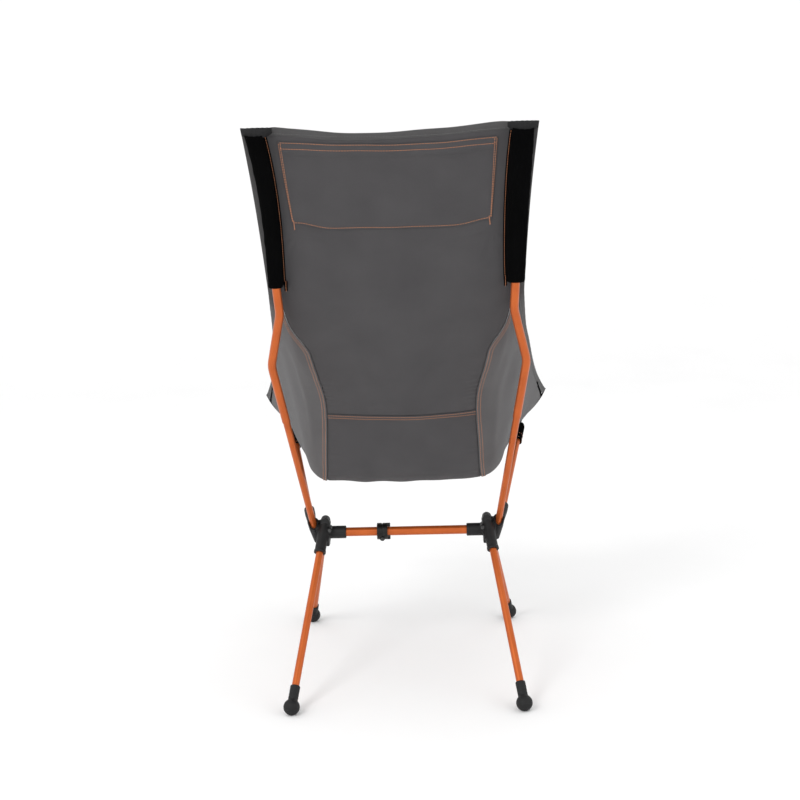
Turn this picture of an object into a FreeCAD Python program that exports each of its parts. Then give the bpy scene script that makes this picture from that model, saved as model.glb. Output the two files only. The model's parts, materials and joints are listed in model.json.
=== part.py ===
import FreeCAD, Part
import os
import math

# High-back packable camping chair: four legs and four seat poles plug into two
# moulded hubs on one crossbar, and a sewn four-corner seat hangs on the poles.
# Millimetres. +Z up, the seat opens towards -Y, the sitter's left is +X.
# The origin is on the floor, in the middle of the chair's outline.

V = FreeCAD.Vector

# driving dimensions
LEG_OD = 13.0
BAR_OD = 16.0
LOWER_POLE_OD = 12.0
UPPER_POLE_OD = 14.0
ARM_OD = 12.0
TUBE_WALL = 0.9
BAR_WALL = 1.2
FOOT_BALL_OD = 28.0
FOOT_FLAT = 0.6
FOOT_SLEEVE_OD = 17.0
FOOT_SLEEVE_RISE = 38.0
SOCKET_WALL = 3.5
CLOTH = 1.6
RUN_GAP = 0.05
CLOTH_GAP = 1.2

# room left past a part's end when another shape is cut from it
CLEAR = 30.0

# where the left half's poles run; the right half is its mirror image
FOOT_REST = FOOT_BALL_OD / 2 - FOOT_FLAT
REAR_FOOT = V(197, 192, FOOT_REST)
FRONT_FOOT = V(193, -266, FOOT_REST)
HUB_TOP = V(146, -55, 266)
BAR_END = V(131, -58, 245)
BACK_MOUTH = V(168, -45, 270)
BACK_BEND_OUT = V(210, 144, 593)
BACK_BEND_IN = V(188, 192, 686)
BACK_TIP = V(198.5, 315, 962)
ARM_MOUTH = V(178, -97, 278)
ARM_TIP = V(221, -315, 372)

# how far each pole sits in its socket, measured along the pole
LEG_SOCKET_END = 64.0
LEG_SEAT = 30.0
LEG_FOOT_RISE = 2.0
BACK_SEAT = 30.0
ARM_SEAT = 28.0
BAR_MOUTH_X = 109.0
POLE_STEP = 250.0
POLE_LAP = 40.0
BEND_RADIUS = 70.0

# shock cord
CORD_OD = 3.0
CORD_HOLE = 3.8
CORD_REACH = 12.0
CORD_START = 1.0
KNOT_OD = 7.0
LEG_KNOT_RISE = 24.0
BACK_KNOT_DROP = 26.0
ARM_KNOT_DROP = 24.0

# plugs that close the upper ends of the poles
PLUG_NECK = 2.0
BACK_PLUG = 18.0
BACK_PLUG_FIT = 0.2
BACK_TIP_HEAD = 7.0
BACK_TIP_TAPER = 5.0
ARM_PLUG = 16.0
ARM_PLUG_FIT = 0.1
ARM_TIP_HEAD = 6.0
ARM_TIP_TAPER = 4.0

# moulded hub: depths run back from each mouth along the pole
LEG_SOCKET_OD = LEG_OD + 2 * SOCKET_WALL
LEG_LIP = 5.0
LEG_LIP_WALL = 0.8
HUB_BALL_OD = 18.0
WEB_INSIDE = 7.0
WEB_OUTSIDE = 15.0
WEB_OUTLINE = [(-55, 270), (-25, 240), (-33, 226), (-58, 222), (-81, 226), (-89, 238)]
BACK_FOOT_DEPTH = 52.0
BACK_FOOT_OD = 13.0
BACK_NECK_DEPTH = 18.0
BACK_NECK_OD = 19.5
BACK_MOUTH_OD = 20.6
SCOOP_DEPTH = 9.0
SCOOP_REAR = 4.0
ARM_FOOT_DEPTH = 46.0
ARM_FOOT_OD = 14.0
ARM_NECK_DEPTH = 16.0
ARM_SOCKET_OD = 19.0
BAR_SOCKET_END_X = 142.0
BAR_BORE_LEAD = 5.0
KNOB_OD = 17.0
KNOB_REAR = 12.0
KNOB_FRONT = 10.0
KNOB_RISE = 1.0
KNOB_HOLE = 7.0

# pan head screws
SCREW_OD = 3.0
SCREW_HEAD_OD = 6.0
SCREW_HEAD = 2.0
SCREW_NECK = 1.0
SLOT_WIDTH = 1.0
SLOT_FLOOR = 1.2
HUB_SCREW_SEAT = V(HUB_TOP.x - 8.5, HUB_TOP.y + 20, HUB_TOP.z - 11)
HUB_SCREW = 12.0
HUB_SCREW_HOLE = 13.0
HUB_BOSS_WALL = 1.25

# clip on the crossbar
CLIP_X = 43.5
CLIP_OD = 29.0
CLIP_LENGTH = 19.0
CLIP_TAB = 5.0
CLIP_SPLIT = 0.3
CLIP_TAB_WIDTH = 9.0
CLIP_TAB_THICK = 5.0
CLIP_SCREW_DROP = 11.0
CLIP_SCREW = 8.0
CLIP_SCREW_HOLE = 9.0
CLIP_BOSS_REACH = 12.0
CLIP_BOSS_OD = 8.8
CLIP_GROOVE = 1.2
CLIP_GROOVE_RISE = 0.4

# sewn trim
HEM = 12.0
HEM_THICK = 2.6
SEAM_GAP = 1.5
TOP_HEM_SPAN = 0.12
FRONT_HEM_SPAN = 0.14
CORNER_GAP_START = 8.5
CORNER_GAP_RATE = 2.2
SLEEVE_BOTTOM_Z = 736.0
SLEEVE_TOP_Z = 976.0
SLEEVE_ROOF = 1.5
SLEEVE_SKIN = 1.1
SLEEVE_HALF_DEPTH = 8.6
SLEEVE_LOW_HALF_WIDTH = 12.5
SLEEVE_TOP_HALF_WIDTH = 15.5
CORNER_CAP_LIFT = 0.5
CORNER_CAP_RISE = 10.0
CORNER_CAP_RINGS = [(CORNER_CAP_LIFT, 17.0, 8.4), (6.0, 16.5, 7.6), (CORNER_CAP_RISE, 12.0, 5.0)]
TAB_SIZE = V(2.0, 6.0, 15.0)
TAB_INSET = V(16.5, 2.5, 9.0)
POCKET_REACH = 45.0
POCKET_END = 8.0
POCKET_OD = ARM_OD + 4.4
POCKET_BORE = ARM_OD + 1.4

# headrest pocket: seat stations it spans and its half width in seam columns
POCKET_TOP, POCKET_LOW = 0.2, 1.26
POCKET_TOP_HALF, POCKET_TAPER = 1.10, 0.12


def direction(a, b):
    step = b.sub(a)
    return step.multiply(1.0 / step.Length)


def along(a, b, distance):
    return a.add(direction(a, b).multiply(distance))


def mirrored(shape):
    return shape.mirror(V(0, 0, 0), V(1, 0, 0))


def save(shape, node):
    shape.exportStep("parts/" + node + ".step")


def save_pair(shape, node):
    save(shape, node + "_left")
    save(mirrored(shape), node + "_right")


def rod(a, b, diameter):
    return Part.makeCylinder(diameter / 2, b.sub(a).Length, a, direction(a, b))


def tube(a, b, diameter, wall):
    return rod(a, b, diameter).cut(rod(a, b, diameter - 2 * wall))


def cone(a, b, diameter_a, diameter_b):
    return Part.makeCone(diameter_a / 2, diameter_b / 2, b.sub(a).Length, a, direction(a, b))


def ball(centre, diameter):
    return Part.makeSphere(diameter / 2, centre)


def rounded_path(points, radius):
    """Straight runs joined by arcs of one radius, as a bent tube's centre line."""
    edges = []
    start = points[0]
    for before, corner, after in zip(points[:-2], points[1:-1], points[2:]):
        back = direction(corner, before)
        ahead = direction(corner, after)
        half_turn = (math.pi - back.getAngle(ahead)) / 2
        trim = radius * math.tan(half_turn)
        arc_start = corner.add(V(back).multiply(trim))
        arc_end = corner.add(V(ahead).multiply(trim))
        inward = back.add(ahead)
        inward.normalize()
        middle = corner.add(inward.multiply(radius / math.cos(half_turn) - radius))
        edges.append(Part.makeLine(start, arc_start))
        edges.append(Part.Arc(arc_start, middle, arc_end).toShape())
        start = arc_end
    edges.append(Part.makeLine(start, points[-1]))
    return Part.Wire(edges)


def swept(path, points, diameter):
    circle = Part.makeCircle(diameter / 2, points[0], direction(points[0], points[1]))
    return path.makePipeShell([Part.Wire([circle])], True, False)


def bent_tube(points, diameter, wall):
    path = rounded_path(points, BEND_RADIUS)
    return swept(path, points, diameter).cut(swept(path, points, diameter - 2 * wall))


# ---------------------------------------------------------------- frame

def leg(foot):
    top = along(HUB_TOP, foot, LEG_SEAT + RUN_GAP)
    bottom = along(foot, HUB_TOP, LEG_FOOT_RISE)
    return tube(top, bottom, LEG_OD, TUBE_WALL)


def foot_cap(foot):
    sleeve_top = along(foot, HUB_TOP, FOOT_SLEEVE_RISE)
    rubber = ball(foot, FOOT_BALL_OD).fuse(rod(foot, sleeve_top, FOOT_SLEEVE_OD))
    floor = Part.makeBox(2 * CLEAR, 2 * CLEAR, CLEAR, V(foot.x - CLEAR, foot.y - CLEAR, -CLEAR))
    bore_start = along(foot, HUB_TOP, LEG_FOOT_RISE - RUN_GAP)
    bore_end = along(foot, HUB_TOP, FOOT_SLEEVE_RISE + CLEAR)
    return rubber.cut(rod(bore_start, bore_end, LEG_OD + 2 * RUN_GAP)).cut(floor)


def leg_cord(foot):
    upper = along(HUB_TOP, foot, LEG_SEAT - CORD_REACH + CORD_START)
    lower = along(foot, HUB_TOP, LEG_KNOT_RISE)
    return rod(upper, lower, CORD_OD).fuse(ball(lower, KNOT_OD))


def back_lower_bottom():
    return along(BACK_MOUTH, BACK_BEND_OUT, -BACK_SEAT)


def back_step():
    return along(BACK_MOUTH, BACK_BEND_OUT, POLE_STEP)


def back_pole_lower():
    top = along(back_step(), BACK_BEND_OUT, POLE_LAP)
    return tube(back_lower_bottom(), top, LOWER_POLE_OD, TUBE_WALL)


def back_pole_upper():
    points = [back_step(), BACK_BEND_OUT, BACK_BEND_IN, BACK_TIP]
    wall = (UPPER_POLE_OD - LOWER_POLE_OD) / 2 - RUN_GAP
    return bent_tube(points, UPPER_POLE_OD, wall)


def back_pole_tip():
    neck = along(BACK_TIP, BACK_BEND_IN, -PLUG_NECK)
    plug = rod(along(BACK_TIP, BACK_BEND_IN, BACK_PLUG), neck, LOWER_POLE_OD - BACK_PLUG_FIT)
    face = along(BACK_TIP, BACK_BEND_IN, -RUN_GAP)
    head_end = along(BACK_TIP, BACK_BEND_IN, -BACK_TIP_HEAD)
    return plug.fuse(cone(face, head_end, UPPER_POLE_OD, UPPER_POLE_OD - BACK_TIP_TAPER))


def back_cord():
    """One cord from the hub up both sections of the back pole."""
    low = along(back_lower_bottom(), BACK_MOUTH, CORD_START - CORD_REACH)
    high = along(BACK_TIP, BACK_BEND_IN, BACK_KNOT_DROP)
    points = [low, BACK_BEND_OUT, BACK_BEND_IN, high]
    path = rounded_path(points, BEND_RADIUS)
    return swept(path, points, CORD_OD).fuse(ball(high, KNOT_OD))


def arm_bottom():
    return along(ARM_MOUTH, ARM_TIP, -ARM_SEAT)


def seat_arm():
    return tube(arm_bottom(), ARM_TIP, ARM_OD, TUBE_WALL)


def seat_arm_tip():
    neck = along(ARM_TIP, ARM_MOUTH, -PLUG_NECK)
    inner = ARM_OD - 2 * TUBE_WALL - ARM_PLUG_FIT
    plug = rod(along(ARM_TIP, ARM_MOUTH, ARM_PLUG), neck, inner)
    face = along(ARM_TIP, ARM_MOUTH, -RUN_GAP)
    head_end = along(ARM_TIP, ARM_MOUTH, -ARM_TIP_HEAD)
    return plug.fuse(cone(face, head_end, ARM_OD, ARM_OD - ARM_TIP_TAPER))


def arm_cord():
    low = along(arm_bottom(), ARM_TIP, CORD_START - CORD_REACH)
    high = along(ARM_TIP, ARM_MOUTH, ARM_KNOT_DROP)
    return rod(low, high, CORD_OD).fuse(ball(high, KNOT_OD))


def crossbar():
    return tube(V(-BAR_END.x, BAR_END.y, BAR_END.z), BAR_END, BAR_OD, BAR_WALL)


def bar_cord():
    left = V(BAR_END.x - KNOT_OD, BAR_END.y, BAR_END.z)
    right = V(-left.x, left.y, left.z)
    return rod(right, left, CORD_OD).fuse(ball(right, KNOT_OD)).fuse(ball(left, KNOT_OD))


def socket_bore(mouth, bottom, diameter):
    """Pole bore with a smaller blind hole for the cord past its floor."""
    pole = rod(bottom, along(mouth, bottom, -CLEAR), diameter + 2 * RUN_GAP)
    cord = rod(along(bottom, mouth, -CORD_REACH), bottom, CORD_HOLE)
    return pole.fuse(cord)


def behind(point, distance):
    """The same point moved towards the rear of the chair."""
    return V(point.x, point.y + distance, point.z)


def leg_socket(foot):
    mouth = along(HUB_TOP, foot, LEG_SOCKET_END)
    lip = rod(along(HUB_TOP, foot, LEG_SOCKET_END - LEG_LIP), mouth, LEG_SOCKET_OD + 2 * LEG_LIP_WALL)
    return rod(HUB_TOP, mouth, LEG_SOCKET_OD).fuse(lip)


def leg_web():
    """Solid web that ties the two leg sockets together under the knob."""
    corners = [V(HUB_TOP.x - WEB_INSIDE, y, z) for y, z in WEB_OUTLINE]
    face = Part.Face(Part.makePolygon(corners + [corners[0]]))
    return face.extrude(V(WEB_INSIDE + WEB_OUTSIDE, 0, 0))


def back_socket():
    """Back pole socket, tapering to its closed foot, with a bell mouth."""
    foot = along(BACK_MOUTH, BACK_BEND_OUT, -BACK_FOOT_DEPTH)
    neck = along(BACK_MOUTH, BACK_BEND_OUT, -BACK_NECK_DEPTH)
    return cone(foot, neck, BACK_FOOT_OD, BACK_NECK_OD).fuse(
        cone(neck, BACK_MOUTH, BACK_NECK_OD, BACK_MOUTH_OD))


def arm_socket():
    foot = along(ARM_MOUTH, ARM_TIP, -ARM_FOOT_DEPTH)
    neck = along(ARM_MOUTH, ARM_TIP, -ARM_NECK_DEPTH)
    return cone(foot, neck, ARM_FOOT_OD, ARM_SOCKET_OD).fuse(rod(neck, ARM_MOUTH, ARM_SOCKET_OD))


def back_mouth_scoop():
    """The rear wall of the back pole socket dips in a U below its side walls."""
    start = behind(along(BACK_MOUTH, BACK_BEND_OUT, -SCOOP_DEPTH), SCOOP_REAR)
    width = LOWER_POLE_OD + 2
    dip = rod(start, behind(start, CLEAR), width)
    above = Part.makeBox(width, CLEAR, CLEAR, V(start.x - width / 2, start.y, start.z))
    return dip.fuse(above)


def hub():
    knob = V(HUB_TOP.x, HUB_TOP.y, HUB_TOP.z + KNOB_RISE)
    knob_face = behind(knob, KNOB_REAR)
    bar_mouth = V(BAR_MOUTH_X, BAR_END.y, BAR_END.z)
    bar_foot = V(BAR_SOCKET_END_X, BAR_END.y, BAR_END.z)
    boss_root = V(HUB_SCREW_SEAT.x, BAR_END.y, HUB_SCREW_SEAT.z)
    body = ball(HUB_TOP, HUB_BALL_OD)
    for block in (leg_socket(REAR_FOOT), leg_socket(FRONT_FOOT), leg_web(), back_socket(), arm_socket(),
                  rod(bar_mouth, bar_foot, BAR_OD + 2 * SOCKET_WALL),
                  rod(behind(knob, -KNOB_FRONT), knob_face, KNOB_OD),
                  rod(boss_root, HUB_SCREW_SEAT, SCREW_HEAD_OD + 2 * HUB_BOSS_WALL)):
        body = body.fuse(block)
    for foot in (REAR_FOOT, FRONT_FOOT):
        mouth = along(HUB_TOP, foot, LEG_SOCKET_END)
        body = body.cut(socket_bore(mouth, along(HUB_TOP, foot, LEG_SEAT), LEG_OD))
    back_floor = back_lower_bottom().add(V(0, 0, -RUN_GAP))
    arm_floor = along(arm_bottom(), ARM_TIP, -RUN_GAP)
    bar_lead = V(BAR_MOUTH_X - BAR_BORE_LEAD, BAR_END.y, BAR_END.z)
    bar_floor = V(BAR_END.x + RUN_GAP, BAR_END.y, BAR_END.z)
    screw_floor = behind(HUB_SCREW_SEAT, -HUB_SCREW_HOLE)
    for hole in (socket_bore(BACK_MOUTH, back_floor, LOWER_POLE_OD),
                 socket_bore(ARM_MOUTH, arm_floor, ARM_OD),
                 rod(bar_lead, bar_floor, BAR_OD + 2 * RUN_GAP),
                 rod(behind(knob_face, -KNOB_HOLE), knob_face, CORD_HOLE),
                 back_mouth_scoop(),
                 rod(screw_floor, HUB_SCREW_SEAT, SCREW_OD + 2 * RUN_GAP)):
        body = body.cut(hole)
    return body.removeSplitter()


def pan_screw(face, length):
    """Slotted screw whose shank runs forward from the face its head rests on."""
    shank = rod(behind(face, -length), behind(face, SCREW_NECK), SCREW_OD)
    head = rod(behind(face, RUN_GAP), behind(face, RUN_GAP + SCREW_HEAD), SCREW_HEAD_OD)
    slot = Part.makeBox(SCREW_HEAD_OD, SCREW_HEAD, SLOT_WIDTH,
                        V(face.x - SCREW_HEAD_OD / 2, face.y + SLOT_FLOOR, face.z - SLOT_WIDTH / 2))
    return shank.fuse(head).cut(slot)


# ---------------------------------------------------------------- crossbar clip

def clip_screw_line():
    return V(CLIP_X, BAR_END.y, BAR_END.z - CLIP_SCREW_DROP)


def clip_body():
    middle = V(CLIP_X, BAR_END.y, BAR_END.z)
    start = V(CLIP_X - CLIP_LENGTH / 2, BAR_END.y, BAR_END.z)
    end = V(CLIP_X + CLIP_LENGTH / 2, BAR_END.y, BAR_END.z)
    body = rod(start, end, CLIP_OD)
    for rise in (-1, 1):
        low = BAR_END.z + rise * (CLIP_OD - CLIP_TAB_THICK) / 2 - CLIP_TAB_THICK / 2
        corner = V(start.x - CLIP_TAB, BAR_END.y - CLIP_TAB_WIDTH / 2, low)
        body = body.fuse(Part.makeBox(CLIP_LENGTH + CLIP_TAB, CLIP_TAB_WIDTH, CLIP_TAB_THICK, corner))
    centre = clip_screw_line()
    boss = rod(behind(centre, -CLIP_BOSS_REACH), behind(centre, CLIP_BOSS_REACH), CLIP_BOSS_OD)
    bore = rod(along(middle, start, CLEAR), along(middle, end, CLEAR), BAR_OD + 2 * RUN_GAP)
    groove = Part.makeTorus(CLIP_OD / 2 + CLIP_GROOVE_RISE, CLIP_GROOVE, middle, V(1, 0, 0))
    return body.fuse(boss).cut(bore).cut(groove)


def clip_half(side):
    """side 1 is the half that carries the screw head, side -1 its partner."""
    size = 2 * CLEAR
    edge = BAR_END.y + CLIP_SPLIT / 2 if side > 0 else BAR_END.y - CLIP_SPLIT / 2 - size
    room = Part.makeBox(size, size, size, V(CLIP_X - CLEAR, edge, BAR_END.z - CLEAR))
    centre = clip_screw_line()
    hole = rod(behind(centre, -CLIP_SCREW_HOLE), behind(centre, CLEAR), SCREW_OD + 2 * RUN_GAP)
    return clip_body().common(room).cut(hole)


# ---------------------------------------------------------------- sewn seat

# Sections across the seat from the top edge, down the back, round the low
# rear of the seat and forward to the front edge. Each one lists the middle,
# the panel seam, the fullest part of the side gusset and the side edge.
SECTIONS = [
    [(0, 311, 977), (150, 312, 985), (188, 312, 986), (223, 313, 986)],
    [(0, 262, 860), (150, 260, 863), (186, 259, 864), (212, 259, 864)],
    [(0, 212, 745), (150, 208, 745), (180, 205.5, 745), (206, 201, 745)],
    [(0, 184, 680), (150, 176, 684), (184, 171, 690), (206, 168, 702)],
    [(0, 139, 600), (147, 121, 604), (182, 103, 616), (213, 71, 645)],
    [(0, 92, 520), (130, 75, 525), (176, 41, 545), (222, -9, 605)],
    [(0, 61, 450), (130, 45, 450), (176, -1, 470), (232, -99, 560)],
    [(0, 35, 380), (133, 23, 380), (182, -49, 414), (242, -174, 520)],
    [(0, -29, 347), (139, -45, 350), (186, -124, 384), (252, -234, 490)],
    [(0, -139, 338), (143, -149, 343), (198, -204, 380), (262, -284, 466)],
    [(0, -239, 342), (147, -239, 348), (212, -267, 384), (268, -314, 453)],
    [(0, -325, 354), (150, -327, 360), (228, -329, 392), (272, -330, 446)],
]
SEAM, EDGE = 1.0, 3.0
TOP, GUSSET_TIP, GUSSET_SET, BAND_SEAM, FRONT = 0.0, 2.3, 4.0, 5.45, 11.0

# the panels stop short of the hems and of each other by these shares of a station
HEM_CLEAR = 0.02
BAND_CLEAR = 0.01
GUSSET_START = 0.5
BEND_CLEAR = 0.35
NORMAL_STEP = 0.02
COLUMN_STEP = 0.2
PANEL_TOP = TOP + TOP_HEM_SPAN + HEM_CLEAR
PANEL_FRONT = FRONT - FRONT_HEM_SPAN - HEM_CLEAR


def curve(points, parameters):
    line = Part.BSplineCurve()
    line.interpolate(Points=points, Parameters=parameters)
    return line


def make_rails():
    across = len(SECTIONS[0])
    stations = [float(i) for i in range(len(SECTIONS))]
    rails = []
    for column in range(1 - across, across):
        side = -1 if column < 0 else 1
        places = [row[abs(column)] for row in SECTIONS]
        points = [V(side * x, y, z) for x, y, z in places]
        rails.append((float(column), curve(points, stations)))
    return rails


RAILS = make_rails()


def cloth_section(station):
    return curve([rail.value(station) for _, rail in RAILS], [column for column, _ in RAILS])


def cloth_point(station, column):
    return cloth_section(station).value(column)


def cloth_normal(station, column):
    """Unit normal on the side away from the sitter."""
    step = NORMAL_STEP
    lower = cloth_point(min(station + step, FRONT), column)
    upper = cloth_point(max(station - step, TOP), column)
    left = cloth_point(station, min(column + step, EDGE))
    right = cloth_point(station, max(column - step, -EDGE))
    down = lower.sub(upper)
    out = left.sub(right)
    normal = out.cross(down)
    normal.normalize()
    return normal


def spread(low, high, count):
    return [low + (high - low) * i / (count - 1) for i in range(count)]


def cloth_solid(stations, column_ranges, offset, thickness, count):
    """Loft through thin closed sections that follow the seat's surface."""
    wires = []
    ends = []
    for station, (low, high) in zip(stations, column_ranges):
        inner = []
        outer = []
        for column in spread(low, high, count):
            point = cloth_point(station, column)
            normal = cloth_normal(station, column)
            inner.append(point.add(V(normal).multiply(offset - thickness / 2)))
            outer.append(point.add(V(normal).multiply(offset + thickness / 2)))
        inner_edge = curve(inner, spread(0, 1, count)).toShape()
        outer_edge = curve(outer, spread(0, 1, count)).toShape()
        wires.append(Part.Wire([inner_edge, Part.makeLine(inner[-1], outer[-1]),
                                outer_edge, Part.makeLine(outer[0], inner[0])]))
        ends.append(Part.makeRuledSurface(inner_edge, outer_edge))
    skin = Part.makeLoft(wires, False, True)
    shell = Part.makeShell(skin.Faces + [ends[0], ends[-1]])
    shell.sewShape()
    solid = Part.makeSolid(shell)
    if solid.Volume < 0:
        solid.reverse()
    return solid


def hem_column(station, width):
    """Column that lies width inside the side edge at this station."""
    reach = cloth_point(station, EDGE).sub(cloth_point(station, EDGE - COLUMN_STEP)).Length / COLUMN_STEP
    return EDGE - width / reach


def seam_column(station):
    """Panel seam: it leaves the side hem below the sleeves and settles on the seam column."""
    hem_side = hem_column(station, HEM + SEAM_GAP)
    share = min(max((station - GUSSET_TIP) / (GUSSET_SET - GUSSET_TIP), 0.0), 1.0)
    eased = share * share * (3 - 2 * share)
    return hem_side + (SEAM - hem_side) * eased


def seam_gap_columns(station):
    """Half the seam gap, counted in columns at this station."""
    reach = cloth_point(station, SEAM).sub(cloth_point(station, SEAM + COLUMN_STEP)).Length / COLUMN_STEP
    return CLOTH_GAP / reach


def middle_panel(stations):
    reach = [seam_column(station) - seam_gap_columns(station) for station in stations]
    return cloth_solid(stations, [(-r, r) for r in reach], 0, CLOTH, 21)


def back_panel():
    upper = spread(PANEL_TOP, GUSSET_TIP, 12)
    return middle_panel(upper + spread(GUSSET_TIP + COLUMN_STEP, BAND_SEAM - BAND_CLEAR, 16))


def seat_panel():
    return middle_panel(spread(BAND_SEAM + BAND_CLEAR, PANEL_FRONT, 15))


def gusset():
    upper = spread(GUSSET_TIP + GUSSET_START, BAND_SEAM, 14)
    stations = upper + spread(BAND_SEAM + BEND_CLEAR, PANEL_FRONT, 14)
    ranges = []
    for station in stations:
        tuck = max(0.0, station - CORNER_GAP_START) * CORNER_GAP_RATE
        ranges.append((seam_column(station) + seam_gap_columns(station),
                       hem_column(station, HEM + SEAM_GAP + tuck)))
    return cloth_solid(stations, ranges, 0, CLOTH, 13)


def side_hem():
    stations = spread(PANEL_TOP, PANEL_FRONT, 29)
    ranges = [(hem_column(station, HEM), EDGE) for station in stations]
    return cloth_solid(stations, ranges, 0, HEM_THICK, 4)


def cross_hem(low, high):
    """Hem over the full width, in three stations."""
    stations = spread(low, high, 3)
    return cloth_solid(stations, [(-EDGE, EDGE)] * len(stations), 0, HEM_THICK, 31)


def back_pocket():
    """Flat pocket on the rear of the headrest, its lower corners swept up."""
    stations = spread(POCKET_TOP, POCKET_LOW, 9)
    ranges = []
    for station in stations:
        reach = POCKET_TOP_HALF - POCKET_TAPER * (station - POCKET_TOP) / (POCKET_LOW - POCKET_TOP)
        ranges.append((-reach, reach))
    return cloth_solid(stations, ranges, CLOTH + CLOTH_GAP, CLOTH, 21)


def on_back_pole(height):
    share = (height - BACK_BEND_IN.z) / (BACK_TIP.z - BACK_BEND_IN.z)
    return BACK_BEND_IN.add(BACK_TIP.sub(BACK_BEND_IN).multiply(share))


def pole_oval(height, half_width, half_depth):
    """Closed oval around the back pole, wide across the chair."""
    centre = on_back_pole(height)
    axis = V(0, BACK_TIP.y - BACK_BEND_IN.y, BACK_TIP.z - BACK_BEND_IN.z)
    depth_axis = axis.cross(V(1, 0, 0))
    depth_axis.normalize()
    side_point = centre.add(V(half_width, 0, 0))
    rear_point = centre.add(depth_axis.multiply(half_depth))
    ellipse = Part.Ellipse(side_point, rear_point, centre)
    return Part.Wire([ellipse.toShape()])


def sleeve_body(low, high, skin):
    """Tapered oval body between two heights, the given skin inside the sleeve's outer face."""
    depth = SLEEVE_HALF_DEPTH - skin
    return Part.makeLoft([pole_oval(low, SLEEVE_LOW_HALF_WIDTH - skin, depth),
                          pole_oval(high, SLEEVE_TOP_HALF_WIDTH - skin, depth)], True, True)


def sleeve():
    outer = sleeve_body(SLEEVE_BOTTOM_Z, SLEEVE_TOP_Z, 0)
    return outer.cut(sleeve_body(SLEEVE_BOTTOM_Z - SLEEVE_ROOF, SLEEVE_TOP_Z - SLEEVE_ROOF, SLEEVE_SKIN))


def corner_cap():
    """Padded end of the top hem over the closed end of a pole sleeve."""
    rings = [pole_oval(SLEEVE_TOP_Z + rise, width, depth) for rise, width, depth in CORNER_CAP_RINGS]
    return Part.makeLoft(rings, True, False)


def pull_tab():
    low = on_back_pole(SLEEVE_BOTTOM_Z - TAB_INSET.z)
    corner = V(low.x - TAB_INSET.x, low.y - TAB_INSET.y, low.z)
    return Part.makeBox(TAB_SIZE.x, TAB_SIZE.y, TAB_SIZE.z, corner)


def tip_pocket():
    """Closed webbing pocket that holds the end of a seat arm."""
    mouth = along(ARM_TIP, ARM_MOUTH, POCKET_REACH - POCKET_END)
    end = along(ARM_TIP, ARM_MOUTH, -POCKET_END)
    outer = rod(mouth, end, POCKET_OD).fuse(ball(end, POCKET_OD))
    return outer.cut(rod(along(ARM_TIP, ARM_MOUTH, POCKET_REACH), end, POCKET_BORE))


def build():
    os.makedirs("parts", exist_ok=True)
    save_pair(hub(), "hub")
    save_pair(pan_screw(HUB_SCREW_SEAT, HUB_SCREW), "hub_screw")
    save(crossbar(), "crossbar")
    save(bar_cord(), "crossbar_cord")
    save(clip_half(1), "clip_rear_half")
    save(clip_half(-1), "clip_front_half")
    clip_screw_face = behind(clip_screw_line(), CLIP_BOSS_REACH)
    save(pan_screw(clip_screw_face, CLIP_BOSS_REACH + CLIP_SCREW), "clip_screw")
    for place, foot in (("rear", REAR_FOOT), ("front", FRONT_FOOT)):
        save_pair(leg(foot), place + "_leg")
        save_pair(foot_cap(foot), place + "_foot")
        save_pair(leg_cord(foot), place + "_leg_cord")
    save_pair(back_pole_lower(), "back_pole_lower")
    save_pair(back_pole_upper(), "back_pole_upper")
    save_pair(back_pole_tip(), "back_pole_tip")
    save_pair(back_cord(), "back_pole_cord")
    save_pair(seat_arm(), "seat_arm")
    save_pair(seat_arm_tip(), "seat_arm_tip")
    save_pair(arm_cord(), "seat_arm_cord")
    save(back_panel(), "back_panel")
    save(seat_panel(), "seat_panel")
    save_pair(gusset(), "side_gusset")
    save_pair(side_hem(), "side_hem")
    save(cross_hem(TOP, TOP + TOP_HEM_SPAN), "top_hem")
    save(cross_hem(FRONT - FRONT_HEM_SPAN, FRONT), "front_hem")
    save(back_pocket(), "back_pocket")
    save_pair(sleeve(), "pole_sleeve")
    save_pair(corner_cap(), "top_corner_cap")
    save_pair(pull_tab(), "pull_tab")
    save_pair(tip_pocket(), "tip_pocket")


build()
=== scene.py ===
import json
import math

import bpy
import bmesh
import numpy as np
from mathutils import Matrix, Vector


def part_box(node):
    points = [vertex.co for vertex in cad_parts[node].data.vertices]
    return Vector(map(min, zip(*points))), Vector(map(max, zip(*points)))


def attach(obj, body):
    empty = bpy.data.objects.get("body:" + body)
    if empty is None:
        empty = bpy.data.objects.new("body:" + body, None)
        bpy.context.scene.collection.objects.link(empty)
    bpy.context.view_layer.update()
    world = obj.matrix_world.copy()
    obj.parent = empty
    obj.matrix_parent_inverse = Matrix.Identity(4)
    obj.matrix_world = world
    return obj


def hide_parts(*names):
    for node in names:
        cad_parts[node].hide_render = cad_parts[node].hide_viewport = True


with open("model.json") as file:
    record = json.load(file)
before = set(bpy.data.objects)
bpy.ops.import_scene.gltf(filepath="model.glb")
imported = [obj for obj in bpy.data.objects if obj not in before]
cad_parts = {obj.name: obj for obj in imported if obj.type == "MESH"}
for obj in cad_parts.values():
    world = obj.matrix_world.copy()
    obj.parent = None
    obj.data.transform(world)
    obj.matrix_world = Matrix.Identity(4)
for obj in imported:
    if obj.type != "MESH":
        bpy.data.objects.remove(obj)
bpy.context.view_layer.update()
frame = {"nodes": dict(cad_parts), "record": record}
MM = 0.001
ROOT = "chair"
SIDES = (("left", 1), ("right", -1))

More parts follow.
